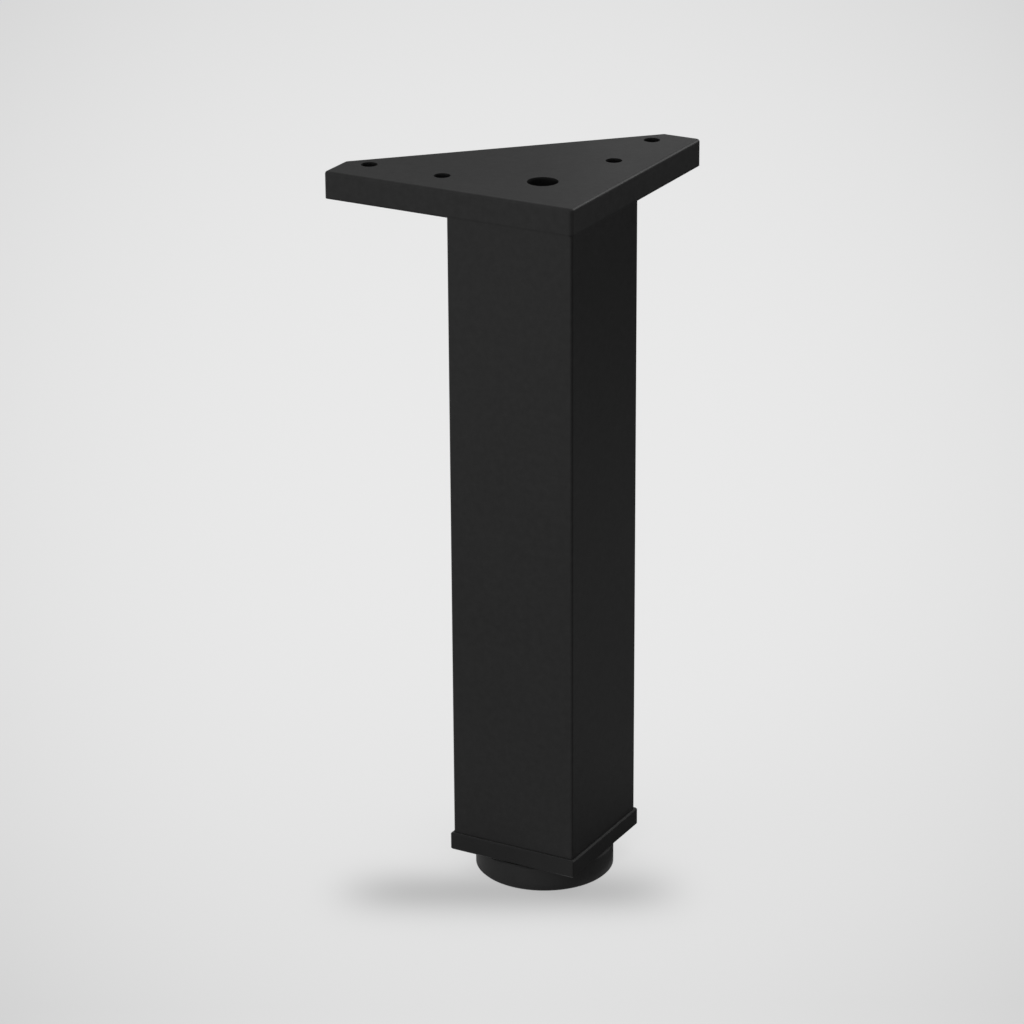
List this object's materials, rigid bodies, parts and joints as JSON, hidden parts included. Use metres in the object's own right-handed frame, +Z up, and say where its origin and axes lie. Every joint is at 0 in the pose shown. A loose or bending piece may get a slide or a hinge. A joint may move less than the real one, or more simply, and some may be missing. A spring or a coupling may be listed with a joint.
{
  "type": "square metal table leg",
  "caption": "Square tube furniture leg with a screw-on corner plate at its top and a height-adjusting foot at its bottom.",
  "frame": {"origin": "centre of the foot's sole, on the tube's axis", "axes": "+Z up along the tube towards the plate; +X and +Y along the plate's two arms, away from its right-angle corner"},
  "size_m": [0.0807, 0.0807, 0.2125],
  "materials": {
    "plate_coating": "satin black powder coat with a fine grain, on a die casting",
    "tube_coating": "satin black powder coat with a fine grain, on a steel tube",
    "insert_plastic": "black moulded plastic with a fine spark-eroded texture",
    "nut_steel": "zinc-plated steel",
    "stem_steel": "zinc-plated steel",
    "foot_plastic": "black moulded plastic, smooth satin sides"
  },
  "bodies": {
    "leg": {"mounting_plate": "plate_coating", "leg_tube": "tube_coating", "end_insert": "insert_plastic", "insert_nut": "nut_steel"},
    "foot": {"foot_pad": "foot_plastic"},
    "stem": {"adjuster_stem": "stem_steel"}
  },
  "joints": [
    {"name": "foot_travel", "type": "slide", "parent": "leg", "child": "foot", "axis": [0, 0, -1], "range_m": [0, 0.015]},
    {"name": "stem_turn", "type": "hinge", "parent": "foot", "child": "stem", "pos_m": [0, 0, 0.02], "axis": [0, 0, -1], "range_deg": [0, 3600]}
  ],
  "couplings": [
    {"joint": "stem_turn", "follows": "foot_travel", "rad_per_m": 4188.8}
  ]
}
